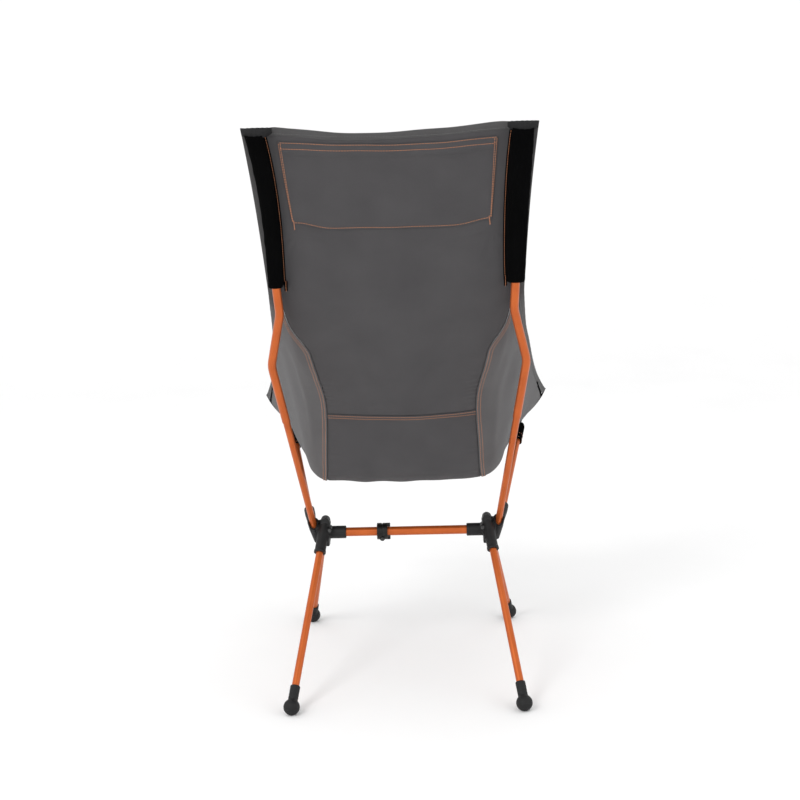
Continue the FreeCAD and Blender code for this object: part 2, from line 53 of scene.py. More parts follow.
# The sewn seat follows the same sections as its CAD panels, in millimetres: the
# middle, the panel seam, the fullest part of the gusset and the side edge, from
# the top edge down the back, round the low rear and forward to the front edge.
SECTIONS = [
    [(0, 311, 977), (150, 312, 985), (188, 312, 986), (223, 313, 986)],
    [(0, 262, 860), (150, 260, 863), (186, 259, 864), (212, 259, 864)],
    [(0, 212, 745), (150, 208, 745), (180, 205.5, 745), (206, 201, 745)],
    [(0, 184, 680), (150, 176, 684), (184, 171, 690), (206, 168, 702)],
    [(0, 139, 600), (147, 121, 604), (182, 103, 616), (213, 71, 645)],
    [(0, 92, 520), (130, 75, 525), (176, 41, 545), (222, -9, 605)],
    [(0, 61, 450), (130, 45, 450), (176, -1, 470), (232, -99, 560)],
    [(0, 35, 380), (133, 23, 380), (182, -49, 414), (242, -174, 520)],
    [(0, -29, 347), (139, -45, 350), (186, -124, 384), (252, -234, 490)],
    [(0, -139, 338), (143, -149, 343), (198, -204, 380), (262, -284, 466)],
    [(0, -239, 342), (147, -239, 348), (212, -267, 384), (268, -314, 453)],
    [(0, -325, 354), (150, -327, 360), (228, -329, 392), (272, -330, 446)],
]
SEAM, EDGE = 1.0, 3.0
TOP, GUSSET_TIP, GUSSET_SET, BAND_SEAM, FRONT = 0.0, 2.3, 4.0, 5.45, 11.0

# ends of the upper back pole, the seat arm and the legs, on the sitter's left
POLE_LOW = Vector((188, 192, 686)) * MM
POLE_HIGH = Vector((198.5, 315, 962)) * MM
ARM_MOUTH = Vector((178, -97, 278)) * MM
ARM_TIP = Vector((221, -315, 372)) * MM
HUB_TOP = Vector((146, -55, 266)) * MM
FEET = {"rear": Vector((197, 192, 13.4)) * MM, "front": Vector((193, -266, 13.4)) * MM}

# sewing, in metres
CLOTH = 1.3 * MM
HEM = 12 * MM
HEM_THICK = 2.8 * MM
SEAM_BAND = 8 * MM
SEAM_RISE = 1.0 * MM
GROOVE = 1.1 * MM
SLEEVE_LOW_Z = 736 * MM
SLEEVE_HIGH_Z = 978 * MM
CORNER_GAP_START = 8.5
CORNER_GAP_RATE = 2.2 * MM
STATION_RUN = 85 * MM
PANEL_END = FRONT - 0.09
STEP_LIMIT = 2.9
ROW_REACH = 0.985
WEBBING_DEPTH = 8.1 * MM

# heights of the cloth's own waves, in metres
BROAD_WAVE, SMALL_WAVE = 1.1 * MM, 0.6 * MM
PULL_HEIGHT, PUCKER_HEIGHT, FOLD_HEIGHT = 1.1 * MM, 0.45 * MM, 1.5 * MM
GATHER_RIDGE, GATHER_DIP, GATHER_WAVE = 1.6 * MM, 1.5 * MM, 0.9 * MM

# camera: place in metres, then yaw, pitch and roll in degrees
CAMERA_PLACE = (-0.064, 2.740, 1.089)
CAMERA_TURN = (1.409, 12.131, -1.618)
LENS = 72.3


# -------------------- camera and stage

def camera_axes(yaw, pitch, roll):
    """Right, up and forward of a camera behind the chair, looking along -Y at yaw 0."""
    level = Vector((math.sin(yaw), -math.cos(yaw), 0))
    side = level.cross(Vector((0, 0, 1))).normalized()
    forward = level * math.cos(pitch) - Vector((0, 0, 1)) * math.sin(pitch)
    rise = side.cross(forward)
    right = side * math.cos(roll) + rise * math.sin(roll)
    up = rise * math.cos(roll) - side * math.sin(roll)
    return right, up, forward


def add_object(name, data):
    """New object in the scene."""
    item = bpy.data.objects.new(name, data)
    bpy.context.scene.collection.objects.link(item)
    return item


def make_camera():
    data = bpy.data.cameras.new("camera")
    data.sensor_width = 36
    data.lens = LENS
    data.clip_end = 50
    camera = add_object("camera", data)
    right, up, forward = camera_axes(*(math.radians(angle) for angle in CAMERA_TURN))
    turn = Matrix((right, up, -forward)).transposed()
    camera.matrix_world = Matrix.Translation(CAMERA_PLACE) @ turn.to_4x4()
    bpy.context.scene.camera = camera


def make_stage(look):
    """A pale floor that curves up into a backdrop on the far side."""
    width, near, far, radius, height = 14.0, 5.0, -2.6, 1.8, 7.0
    profile = [(near, 0.0), (far, 0.0)]
    steps = 20
    for i in range(1, steps + 1):
        turn = math.pi / 2 * i / steps
        profile.append((far - radius * math.sin(turn), radius - radius * math.cos(turn)))
    profile.append((far - radius, height))
    verts = [(x, y, z) for y, z in profile for x in (-width / 2, width / 2)]
    faces = [(2 * i, 2 * i + 1, 2 * i + 3, 2 * i + 2) for i in range(len(profile) - 1)]
    backdrop = new_piece("backdrop", verts, faces, look)


def area_light(name, place, target, size, power):
    data = bpy.data.lights.new(name, "AREA")
    data.shape = "DISK"
    data.size = size
    data.energy = power
    light = add_object(name, data)
    light.location = place
    light.rotation_mode = "QUATERNION"
    light.rotation_quaternion = (Vector(target) - Vector(place)).to_track_quat("-Z", "Y")


def make_lights():
    world = bpy.data.worlds.new("studio")
    world.use_nodes = True
    background = world.node_tree.nodes["Background"]
    background.inputs["Color"].default_value = (1, 1, 1, 1)
    background.inputs["Strength"].default_value = 1.0
    bpy.context.scene.world = world
    middle = (0, 0, 0.5)
    area_light("key", (1.8, 2.6, 2.8), middle, 1.4, 46)
    area_light("fill", (-2.6, 2.0, 1.5), middle, 2.0, 12)
    bpy.context.scene.view_settings.view_transform = "Standard"


# -------------------- materials

def new_material(name, roughness, metallic=0.0, specular=0.5, sheen=0.0):
    material = bpy.data.materials.new(name)
    material.use_nodes = True
    shader = material.node_tree.nodes["Principled BSDF"]
    shader.inputs["Roughness"].default_value = roughness
    shader.inputs["Metallic"].default_value = metallic
    shader.inputs["Specular IOR Level"].default_value = specular
    shader.inputs["Sheen Weight"].default_value = sheen
    shader.inputs["Sheen Roughness"].default_value = 0.6
    return material, shader


def add_node(material, kind, links=None, **inputs):
    """A shader node with input values by name, and links given as {input: socket}."""
    node = material.node_tree.nodes.new(kind)
    for name, value in inputs.items():
        node.inputs[name.replace("_", " ")].default_value = value
    for name, socket in (links or {}).items():
        material.node_tree.links.new(socket, node.inputs[name])
    return node


def math_node(material, operation, first, second):
    node = material.node_tree.nodes.new("ShaderNodeMath")
    node.operation = operation
    for i, value in enumerate((first, second)):
        if isinstance(value, (int, float)):
            node.inputs[i].default_value = value
        else:
            material.node_tree.links.new(value, node.inputs[i])
    return node.outputs[0]


def coordinates(material, kind):
    return material.node_tree.nodes.new("ShaderNodeTexCoord").outputs[kind]


def noise(material, vector, scale, detail=3.0):
    node = add_node(material, "ShaderNodeTexNoise", {"Vector": vector}, Scale=scale, Detail=detail)
    return node.outputs["Fac"]


def tint(material, shader, factor, dark, light):
    """Base colour between two close tones, by a factor from 0 to 1."""
    ramp = material.node_tree.nodes.new("ShaderNodeValToRGB")
    ramp.color_ramp.elements[0].position = 0.3
    ramp.color_ramp.elements[1].position = 0.7
    ramp.color_ramp.elements[0].color = (*dark, 1)
    ramp.color_ramp.elements[1].color = (*light, 1)
    material.node_tree.links.new(factor, ramp.inputs["Fac"])
    material.node_tree.links.new(ramp.outputs["Color"], shader.inputs["Base Color"])


def bump(material, shader, height, distance, strength=1.0):
    node = add_node(material, "ShaderNodeBump", {"Height": height}, Strength=strength, Distance=distance)
    material.node_tree.links.new(node.outputs["Normal"], shader.inputs["Normal"])


def vary(material, shader, socket, factor, low, high):
    """Spreads one shader value between low and high."""
    node = add_node(material, "ShaderNodeMapRange", {"Value": factor})
    node.inputs["To Min"].default_value = low
    node.inputs["To Max"].default_value = high
    material.node_tree.links.new(node.outputs["Result"], shader.inputs[socket])


def ribs(material, vector, direction, pitch):
    """Evenly spaced rounded ribs, from 0 to 1, one every pitch metres."""
    node = add_node(material, "ShaderNodeTexWave", {"Vector": vector}, Scale=math.pi / 10 / pitch)
    node.bands_direction = direction
    return node.outputs["Fac"]


def woven(name, dark, light, pitch, roughness, sheen, rib_share=1.0, specular=0.25):
    """Plain weave: crossing threads on the cut cloth's own lengthwise and crosswise lines."""
    material, shader = new_material(name, roughness, specular=specular, sheen=sheen)
    cut = coordinates(material, "UV")
    warp = ribs(material, cut, "X", pitch)
    weft = ribs(material, cut, "Y", pitch * rib_share)
    threads = math_node(material, "MULTIPLY", warp, weft)
    blotch = noise(material, cut, 14.0, 4.0)
    slub = noise(material, cut, 420.0, 2.0)
    soft = math_node(material, "MULTIPLY", blotch, 0.62)
    sharp = math_node(material, "MULTIPLY", slub, 0.26)
    shade = math_node(material, "ADD", math_node(material, "ADD", soft, sharp),
                      math_node(material, "MULTIPLY", threads, 0.16))
    tint(material, shader, shade, dark, light)
    height = math_node(material, "ADD", threads, math_node(material, "MULTIPLY", slub, 0.6))
    bump(material, shader, height, 0.35 * MM, 0.7)
    return material


def anodised(name, dark, light):
    """Dyed anodised tube: satin metal with faint draw lines and small rubbed marks."""
    material, shader = new_material(name, 0.34, metallic=0.55, specular=0.5)
    place = coordinates(material, "Object")
    stretched = add_node(material, "ShaderNodeMapping", {"Vector": place})
    stretched.inputs["Scale"].default_value = (900, 900, 24)
    drawn = noise(material, stretched.outputs["Vector"], 1.0, 2.0)
    cloudy = noise(material, place, 26.0, 4.0)
    rubs = noise(material, place, 260.0, 5.0)
    shade = math_node(material, "ADD", math_node(material, "MULTIPLY", drawn, 0.3),
                      math_node(material, "MULTIPLY", cloudy, 0.7))
    tint(material, shader, shade, dark, light)
    vary(material, shader, "Roughness", rubs, 0.24, 0.44)
    bump(material, shader, drawn, 0.05 * MM, 0.35)
    return material


def moulded(name, dark, light, roughness, grain):
    """Spark-textured moulded plastic or rubber, with handled areas a little shinier."""
    material, shader = new_material(name, roughness, specular=0.3)
    place = coordinates(material, "Object")
    cloudy = noise(material, place, 45.0, 4.0)
    spark = noise(material, place, grain, 3.0)
    tint(material, shader, cloudy, dark, light)
    vary(material, shader, "Roughness", cloudy, roughness - 0.12, roughness + 0.12)
    bump(material, shader, spark, 0.18 * MM, 0.6)
    return material


def machined(name, dark, light):
    material, shader = new_material(name, 0.3, metallic=1.0)
    place = coordinates(material, "Object")
    tint(material, shader, noise(material, place, 300.0), dark, light)
    vary(material, shader, "Roughness", noise(material, place, 900.0), 0.22, 0.42)
    return material


def braided(name, dark, light):
    material, shader = new_material(name, 0.7, specular=0.3)
    place = coordinates(material, "Object")
    braid = math_node(material, "MULTIPLY", ribs(material, place, "DIAGONAL", 1.1 * MM),
                      ribs(material, place, "Z", 1.3 * MM))
    tint(material, shader, braid, dark, light)
    bump(material, shader, braid, 0.3 * MM, 0.8)
    return material


def thread(name, dark, light):
    material, shader = new_material(name, 0.6, specular=0.35, sheen=0.2)
    place = coordinates(material, "Object")
    tint(material, shader, noise(material, place, 700.0), dark, light)
    bump(material, shader, noise(material, place, 2600.0, 1.0), 0.1 * MM, 0.5)
    return material


def stage_material():
    material, shader = new_material("stage_pale", 0.95, specular=0.1)
    place = coordinates(material, "Object")
    tint(material, shader, noise(material, place, 3.0), (0.93, 0.93, 0.93), (0.95, 0.95, 0.95))
    return material


def make_looks():
    return {
        "stage": stage_material(),
        "seat_fabric": woven("grey_seat_cloth", (0.051, 0.0485, 0.051), (0.067, 0.064, 0.0663),
                             0.9 * MM, 0.86, 0.06),
        "gusset_fabric": woven("grey_gusset_cloth", (0.086, 0.084, 0.086), (0.112, 0.109, 0.111),
                               0.9 * MM, 0.84, 0.08),
        "hem_fabric": woven("grey_hem_tape", (0.053, 0.0515, 0.052), (0.077, 0.075, 0.076),
                            1.1 * MM, 0.8, 0.08),
        # painted shade: the corner folds are the grey hem cloth, coloured near black to stand for the shadow
        # that falls on them
        "painted_shade_corner_fabric": woven("painted_shade_corner_cloth", (0.014, 0.014, 0.0145), (0.03, 0.03, 0.031),
                               1.1 * MM, 0.9, 0.0, specular=0.1),
        "black_webbing": woven("black_webbing", (0.0013, 0.0013, 0.0014), (0.0028, 0.0028, 0.003),
                               1.3 * MM, 0.95, 0.0, 0.6, 0.02),
        "orange_tube": anodised("orange_anodised", (0.46, 0.092, 0.016), (0.57, 0.125, 0.022)),
        "hub_nylon": moulded("black_glass_nylon", (0.0055, 0.0055, 0.0058), (0.012, 0.012, 0.0125),
                             0.52, 1500.0),
        "clip_nylon": moulded("black_clip_nylon", (0.0025, 0.0023, 0.0022), (0.006, 0.0055, 0.0053),
                              0.4, 1500.0),
        "foot_rubber": moulded("black_rubber", (0.0065, 0.0065, 0.007), (0.013, 0.013, 0.0135), 0.62, 1100.0),
        "screw_steel": machined("black_oxide_screw", (0.05, 0.05, 0.05), (0.11, 0.11, 0.11)),
        "shock_cord": braided("black_shock_cord", (0.01, 0.01, 0.01), (0.035, 0.035, 0.035)),
        "orange_thread": thread("orange_thread", (0.42, 0.15, 0.06), (0.62, 0.25, 0.11)),
        "grey_thread": thread("grey_thread", (0.06, 0.06, 0.06), (0.12, 0.12, 0.12)),
    }


# -------------------- mesh tools

def new_piece(name, verts, faces, look):
    mesh = bpy.data.meshes.new(name)
    mesh.from_pydata([tuple(v) for v in verts], [], [tuple(f) for f in faces])
    mesh.polygons.foreach_set("use_smooth", [True] * len(mesh.polygons))
    mesh.materials.append(look)
    return add_object(name, mesh)


def sew_uv(piece, lengths):
    """UV in metres of cut cloth, one pair for each vertex."""
    mesh = piece.data
    corners = np.zeros(len(mesh.loops), np.int32)
    mesh.loops.foreach_get("vertex_index", corners)
    layer = mesh.uv_layers.new(name="cut")
    layer.data.foreach_set("uv", np.asarray(lengths, np.float32)[corners].ravel())


def grid_faces(rows, columns, start=0, wrap=False):
    faces = []
    last = columns if wrap else columns - 1
    for i in range(rows - 1):
        for j in range(last):
            k = (j + 1) % columns
            a = start + i * columns
            b = a + columns
            faces.append((a + j, a + k, b + k, b + j))
    return faces


def run_lengths(points, axis):
    """Distance along a grid of points in one direction, from the first row or column."""
    steps = np.linalg.norm(np.diff(points, axis=axis), axis=-1)
    start_shape = list(steps.shape)
    start_shape[axis] = 1
    return np.concatenate([np.zeros(start_shape), np.cumsum(steps, axis=axis)], axis=axis)


def shell(name, outer, inner, look):
    """Closed thin sheet between two grids of points."""
    rows, columns = outer.shape[:2]
    count = rows * columns
    faces = grid_faces(rows, columns)
    faces += [tuple(count + k for k in reversed(face)) for face in grid_faces(rows, columns)]
    rim = [(0, j) for j in range(columns)] + [(i, columns - 1) for i in range(1, rows)]
    rim += [(rows - 1, j) for j in range(columns - 2, -1, -1)] + [(i, 0) for i in range(rows - 2, 0, -1)]
    ring = [i * columns + j for i, j in rim]
    for a, b in zip(ring, ring[1:] + ring[:1]):
        faces.append((b, a, count + a, count + b))
    verts = np.concatenate([outer.reshape(-1, 3), inner.reshape(-1, 3)])
    piece = new_piece(name, verts, faces, look)
    lengths = np.stack([run_lengths(outer, 1), run_lengths(outer, 0)], axis=-1).reshape(-1, 2)
    sew_uv(piece, np.concatenate([lengths, lengths]))
    return piece


def loop_tube(name, rings, look, close_start=True, close_end=True):
    """Skin through rings of points; each ring runs round the piece."""
    rows, columns = rings.shape[:2]
    faces = grid_faces(rows, columns, wrap=True)
    if close_start:
        faces.append(tuple(range(columns - 1, -1, -1)))
    if close_end:
        faces.append(tuple((rows - 1) * columns + j for j in range(columns)))
    piece = new_piece(name, rings.reshape(-1, 3), faces, look)
    fix_normals(piece)
    closed = np.concatenate([rings, rings[:, :1]], axis=1)
    round_it = run_lengths(closed, 1)[:, :-1]
    lengths = np.stack([round_it, run_lengths(rings, 0)], axis=-1)
    sew_uv(piece, lengths.reshape(-1, 2))
    return piece


def fix_normals(piece):
    work = bmesh.new()
    work.from_mesh(piece.data)
    bmesh.ops.recalc_face_normals(work, faces=work.faces)
    work.to_mesh(piece.data)
    work.free()


def superellipse(count, power):
    """Points of a unit squarish ring: first across, then deep."""
    turn = np.arange(count) * 2 * math.pi / count
    across = np.sign(np.cos(turn)) * np.abs(np.cos(turn)) ** (2 / power)
    deep = np.sign(np.sin(turn)) * np.abs(np.sin(turn)) ** (2 / power)
    return across, deep


def smooth_step(value, low, high):
    share = np.clip((value - low) / (high - low), 0, 1)
    return share * share * (3 - 2 * share)


def unit(vectors):
    return vectors / np.linalg.norm(vectors, axis=-1, keepdims=True)


# -------------------- the seat's surface

def spline_solver(count):
    """Matrix that gives a smooth curve's slopes from its evenly spaced values."""
    slopes = np.eye(count)
    values = np.zeros((count, count))
    for i in range(1, count - 1):
        slopes[i, i - 1:i + 2] = 1, 4, 1
        values[i, i - 1] = -3
        values[i, i + 1] = 3
    values[0, :3] = -1.5, 2, -0.5
    values[-1, -3:] = 0.5, -2, 1.5
    return np.linalg.inv(slopes) @ values


def make_rails():
    half = np.array(SECTIONS, float) * MM
    return np.concatenate([half[:, :0:-1] * (-1, 1, 1), half], axis=1)


RAILS = make_rails()
RAIL_SLOPES = np.einsum("ij,jkd->ikd", spline_solver(len(RAILS)), RAILS)
ACROSS = spline_solver(RAILS.shape[1])


def hermite(low, high, low_slope, high_slope, t):
    rest = 1 - t
    return ((1 + 2 * t) * rest ** 2 * low + t * rest ** 2 * low_slope
            + t * t * (3 - 2 * t) * high - t * t * rest * high_slope)


def surface(s, c):
    """Points of the unwrinkled seat at stations s (0 to 11) and columns c (-3 to 3)."""
    s, c = np.broadcast_arrays(np.asarray(s, float), np.asarray(c, float))
    shape = s.shape
    s = s.ravel()
    c = c.ravel() + EDGE
    i = np.clip(np.floor(s).astype(int), 0, len(RAILS) - 2)
    part = (s - i)[:, None, None]
    rails = hermite(RAILS[i], RAILS[i + 1], RAIL_SLOPES[i], RAIL_SLOPES[i + 1], part)
    slopes = np.einsum("jk,nkd->njd", ACROSS, rails)
    j = np.clip(np.floor(c).astype(int), 0, RAILS.shape[1] - 2)
    n = np.arange(len(s))
    part = (c - j)[:, None]
    return hermite(rails[n, j], rails[n, j + 1], slopes[n, j], slopes[n, j + 1], part).reshape(shape + (3,))


def surface_normal(s, c):
    """Unit normal on the side away from the sitter."""
    step = 0.02
    down = surface(np.minimum(s + step, FRONT), c) - surface(np.maximum(s - step, TOP), c)
    out = surface(s, np.minimum(c + step, EDGE)) - surface(s, np.maximum(c - step, -EDGE))
    return unit(np.cross(out, down))


def hem_column(s, width):
    """Column that lies width inside the side edge."""
    reach = np.linalg.norm(surface(s, EDGE) - surface(s, EDGE - 0.2), axis=-1) / 0.2
    return EDGE - width / reach


def seam_column(s):
    """Panel seam: it leaves the side hem below the sleeves and settles on the seam column."""
    hem_side = hem_column(s, HEM - 2 * MM)
    eased = smooth_step(s, GUSSET_TIP, GUSSET_SET)
    return hem_side + (SEAM - hem_side) * eased


def column_step(s, c, distance):
    """How many columns make up a distance across the seat at (s, c)."""
    width = np.linalg.norm(surface(s, c + 0.05) - surface(s, c - 0.05), axis=-1) / 0.1
    return distance / width


def column_at_x(s, x):
    """Column at which the left half of station s lies x from the middle."""
    columns = np.linspace(0.2, EDGE, 80)
    return np.array([np.interp(one_x, surface(one_s, columns)[:, 0], columns)
                     for one_s, one_x in np.broadcast(s, x)])


def wave(value, pitch, phase=0.0):
    return np.sin(value * 2 * math.pi / pitch + phase)


def soft_peak(value, middle, reach):
    """Bell from 0 to 1 that falls away on both sides of a middle value."""
    return np.exp(-((value - middle) / reach) ** 2)


def loose_waves(x, z, run):
    """Broad and small waves of cloth that isn't drawn quite tight."""
    broad = BROAD_WAVE * wave(x + 0.3 * z, 0.19, 0.7) * wave(run, 0.27, 0.4)
    return broad + SMALL_WAVE * wave(x - 0.5 * run, 0.083, 2.0) * wave(run, 0.16, 1.1)


def pocket_pulls(x, z):
    """Pulls that fan out from the lower corners of the head pocket."""
    corner = surface(1.32, 1.0)
    dx = np.abs(x) - corner[0]
    dz = z - corner[2]
    far = np.hypot(dx, dz)
    rays = np.sin(np.arctan2(dx, -dz) * 11 + 0.6 * np.sign(x))
    pulls = PULL_HEIGHT * rays * np.exp(-far / (38 * MM)) * smooth_step(far, 0, 14 * MM)
    return pulls * smooth_step(-dz, -4 * MM, 6 * MM)


def seam_pucker(s, c, run):
    """Short waves where the panel seams draw the cloth up on both sides."""
    seam = seam_column(s)
    one_metre = column_step(s, np.minimum(seam, STEP_LIMIT), 1.0)
    away = (np.abs(c) - seam) / np.maximum(one_metre, 1e-6)
    pucker = PUCKER_HEIGHT * soft_peak(away, 0, 16 * MM) * wave(run + 0.01 * np.sin(run * 60), 0.013, c)
    return pucker * smooth_step(s, GUSSET_SET - 0.2, GUSSET_SET + 0.4)


def rear_gather(s, side, x):
    """Gathers at the rear of the seat pan, where the seams turn under it."""
    return soft_peak(s, 7.2, 0.9) * (GATHER_RIDGE * soft_peak(side, 1.12, 0.2)
                                     - GATHER_DIP * soft_peak(side, 0.62, 0.26)
                                     + GATHER_WAVE * wave(x, 0.062, 0.9) * soft_peak(side, 0, 1.2))


def gusset_folds(s, c, run):
    """Long slack folds down the gussets towards the front corners."""
    side = np.abs(c)
    lean = smooth_step(side, 1.2, 1.9) * smooth_step(s, 3.2, 5.0) * (1 - smooth_step(s, 9.0, 10.4))
    return FOLD_HEIGHT * lean * wave(side * 60 * MM + run * 0.28, 0.055, 1.4 + 0.8 * np.sign(c))


def relief(s, c):
    """Height of the cloth's own folds and slack over the smooth surface, in metres."""
    point = surface(s, c)
    x, z = point[..., 0], point[..., 2]
    run = s * STATION_RUN
    side = np.abs(c)
    free = 1 - smooth_step(side, 1.15, 1.6) * (1 - smooth_step(s, 2.2, 2.9))
    rest = 1 - smooth_step(side, 2.5, 2.85)
    return (loose_waves(x, z, run) * free + pocket_pulls(x, z) + seam_pucker(s, c, run)
            + rear_gather(s, side, x) + gusset_folds(s, c, run)) * rest


def on_cloth(s, c, lift):
    """Points lift metres off the wrinkled cloth's middle, on its outer side if positive."""
    s, c = np.broadcast_arrays(np.asarray(s, float), np.asarray(c, float))
    return surface(s, c) + surface_normal(s, c) * (relief(s, c) + lift)[..., None]


def cloth_sheet(name, s, c, look, lift=0.0, thickness=CLOTH):
    lift = lift + np.zeros(s.shape)
    outer = on_cloth(s, c, lift + thickness / 2)
    inner = on_cloth(s, c, lift - thickness / 2)
    return shell(name, outer, inner, look)


def row_grid(stations, low, high, columns):
    """Grid of stations and columns between two lines, one low and one high for each station."""
    share = np.linspace(0, 1, columns)
    c = low[:, None] + (high - low)[:, None] * share
    return np.repeat(stations[:, None], columns, axis=1), c


def flat_size(s, c):
    """Width, length and area of the cut cloth that lies on a grid of the surface."""
    points = surface(s, c)
    width = run_lengths(points, 1)[:, -1].max()
    length = run_lengths(points, 0)[-1].max()
    edge_a = points[1:, :-1] - points[:-1, :-1]
    edge_b = points[:-1, 1:] - points[:-1, :-1]
    area = np.linalg.norm(np.cross(edge_a, edge_b), axis=-1).sum()
    return width, length, min(area, width * length)


# -------------------- stitches

def sample(stops, travel, values):
    """Points or normals of a line at given distances along it."""
    return np.stack([np.interp(stops, travel, values[:, k]) for k in range(3)], axis=-1)


class Sewing:
    """Collects the stitches of one thread, and makes them one piece."""

    def __init__(self, name, look):
        self.name = name
        self.look = look
        self.verts = []
        self.faces = []

    def line(self, points, normals, pitch=4.2 * MM, length=3.1 * MM, width=0.85 * MM):
        """Evenly spaced raised stitches along a line of points that lie on the cloth."""
        travel = run_lengths(points, 0)
        stops = np.arange(pitch / 2, travel[-1], pitch)
        middle = sample(stops, travel, points)
        ahead = sample(stops + length / 2, travel, points)
        behind = sample(stops - length / 2, travel, points)
        up = unit(sample(stops, travel, normals))
        forward = unit(ahead - behind)
        side = np.cross(up, forward)
        sides = 6
        turn = np.arange(sides) * 2 * math.pi / sides
        rings = ((-0.5, 0.3, -0.2), (-0.32, 1.0, 0.25), (0.32, 1.0, 0.25), (0.5, 0.3, -0.2))
        for k in range(len(stops)):
            start = len(self.verts)
            for place, size, rise in rings:
                centre = middle[k] + forward[k] * place * length + up[k] * rise * width
                for angle in turn:
                    self.verts.append(centre + side[k] * math.cos(angle) * size * width / 2
                                      + up[k] * math.sin(angle) * size * width * 0.4)
            self.faces += grid_faces(len(rings), sides, start, wrap=True)
            self.faces.append(tuple(start + j for j in range(sides - 1, -1, -1)))
            self.faces.append(tuple(start + (len(rings) - 1) * sides + j for j in range(sides)))

    def on_cloth(self, s, c, lift, both_faces=False):
        """A line given by stations and columns; lift is the height of the outer face there."""
        s, c = np.broadcast_arrays(np.asarray(s, float), np.asarray(c, float))
        normals = surface_normal(s, c)
        self.line(on_cloth(s, c, lift), normals)
        if both_faces:
            self.line(on_cloth(s, c, -CLOTH / 2), -normals)

    def finish(self):
        piece = new_piece(self.name, self.verts, self.faces, self.look)
        fix_normals(piece)
        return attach(piece, ROOT)


def zigzag(sewing, s, c, lift, wide, tall):
    """A bartack: close stitches side to side, tall along the seat and wide across it."""
    rows = 7
    station = s + np.linspace(-0.5, 0.5, rows * 2) * tall
    column = c + np.where(np.arange(rows * 2) % 2, 0.5, -0.5) * wide
    fine_s = np.interp(np.linspace(0, rows * 2 - 1, 120), np.arange(rows * 2), station)
    fine_c = np.interp(np.linspace(0, rows * 2 - 1, 120), np.arange(rows * 2), column)
    sewing.on_cloth(fine_s, fine_c, lift)


# -------------------- panels

def band_profile(away):
    """Raised double-folded seam allowance, by distance from the seam line."""
    return SEAM_RISE * (1 - smooth_step(away, SEAM_BAND, SEAM_BAND + 1.2 * MM))


def groove_profile(away):
    """Dip of the cloth just before a seam, by distance from it."""
    return -GROOVE * (1 - smooth_step(away, 0.5 * MM, 4.5 * MM))


def back_panel(looks):
    stations = np.concatenate([np.linspace(TOP + 0.05, GUSSET_TIP, 75)[:-1],
                               np.linspace(GUSSET_TIP, GUSSET_SET, 45)[:-1],
                               np.linspace(GUSSET_SET, BAND_SEAM + 0.01, 80)])
    reach = seam_column(stations)
    s, c = row_grid(stations, -reach, reach, 121)
    points = surface(s, c)
    across = run_lengths(points, 1)
    away = np.minimum(across, across[:, -1:] - across)
    sewn = smooth_step(s, GUSSET_TIP + 0.1, GUSSET_TIP + 0.4)
    lift = groove_profile(away) * sewn
    below = run_lengths(points, 0)
    lift = lift + groove_profile(below[-1:] - below)
    piece = cloth_sheet("back_panel_cloth", s, c, looks["seat_fabric"], lift)
    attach(piece, ROOT)
    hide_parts("back_panel")
    return piece, flat_size(s, c)


def seat_panel(looks, sewing):
    stations = np.linspace(BAND_SEAM - 0.01, PANEL_END, 150)
    reach = seam_column(stations)
    s, c = row_grid(stations, -reach, reach, 91)
    points = surface(s, c)
    across = run_lengths(points, 1)
    away = np.minimum(across, across[:, -1:] - across)
    lift = groove_profile(away) + band_profile(run_lengths(points, 0))
    piece = cloth_sheet("seat_panel_cloth", s, c, looks["seat_fabric"], lift)
    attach(piece, ROOT)
    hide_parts("seat_panel")
    columns = np.linspace(-ROW_REACH, ROW_REACH, 240)
    for rise in (0.022, 0.082):
        sewing.on_cloth(BAND_SEAM + rise, columns, CLOTH / 2 + SEAM_RISE, both_faces=True)
    return piece, flat_size(s, c)


def gusset_edge(s):
    """Outer column of a gusset; near the front corner it draws away from the hem."""
    tuck = np.maximum(0.0, s - CORNER_GAP_START) * CORNER_GAP_RATE
    return hem_column(s, HEM - 2 * MM * (tuck == 0) + tuck)


def gusset(looks, sewing, side, sign):
    stations = np.concatenate([np.linspace(GUSSET_TIP + 0.06, GUSSET_SET, 45)[:-1],
                               np.linspace(GUSSET_SET, PANEL_END, 170)])
    seam = seam_column(stations)
    low = seam - column_step(stations, np.minimum(seam, STEP_LIMIT), 0.6 * MM)
    s, c = row_grid(stations, low, gusset_edge(stations), 61)
    away = run_lengths(surface(s, c), 1)
    lift = band_profile(away) * smooth_step(s, GUSSET_TIP + 0.1, GUSSET_TIP + 0.4)
    if sign < 0:
        s, c, lift = s[:, ::-1], -c[:, ::-1], lift[:, ::-1]
    piece = cloth_sheet("side_gusset_cloth_" + side, s, c, looks["gusset_fabric"], lift)
    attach(piece, ROOT)
    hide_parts("side_gusset_" + side)
    run = np.linspace(GUSSET_TIP + 0.62, FRONT - 0.15, 500)
    seam = seam_column(run)
    for inset in (1.9 * MM, 6.4 * MM):
        line = seam + column_step(run, np.minimum(seam + 0.1, STEP_LIMIT), inset)
        sewing.on_cloth(run, sign * line, CLOTH / 2 + SEAM_RISE, both_faces=True)
    return piece, flat_size(s, c)


def gusset_binding(looks, side, sign):
    """Black tape that binds the free edge of a gusset beside the front corner."""
    stations = np.linspace(CORNER_GAP_START - 0.4, FRONT - 0.1, 70)
    edge = gusset_edge(stations)
    half = column_step(stations, edge - 0.1, 2.6 * MM)
    across, deep = superellipse(16, 3.0)
    c = edge[:, None] + half[:, None] * across
    s = np.repeat(stations[:, None], len(across), axis=1)
    rings = on_cloth(s, sign * c, deep * 1.4 * MM)
    piece = loop_tube("gusset_binding_" + side, rings, looks["black_webbing"])
    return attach(piece, ROOT)


# -------------------- hems

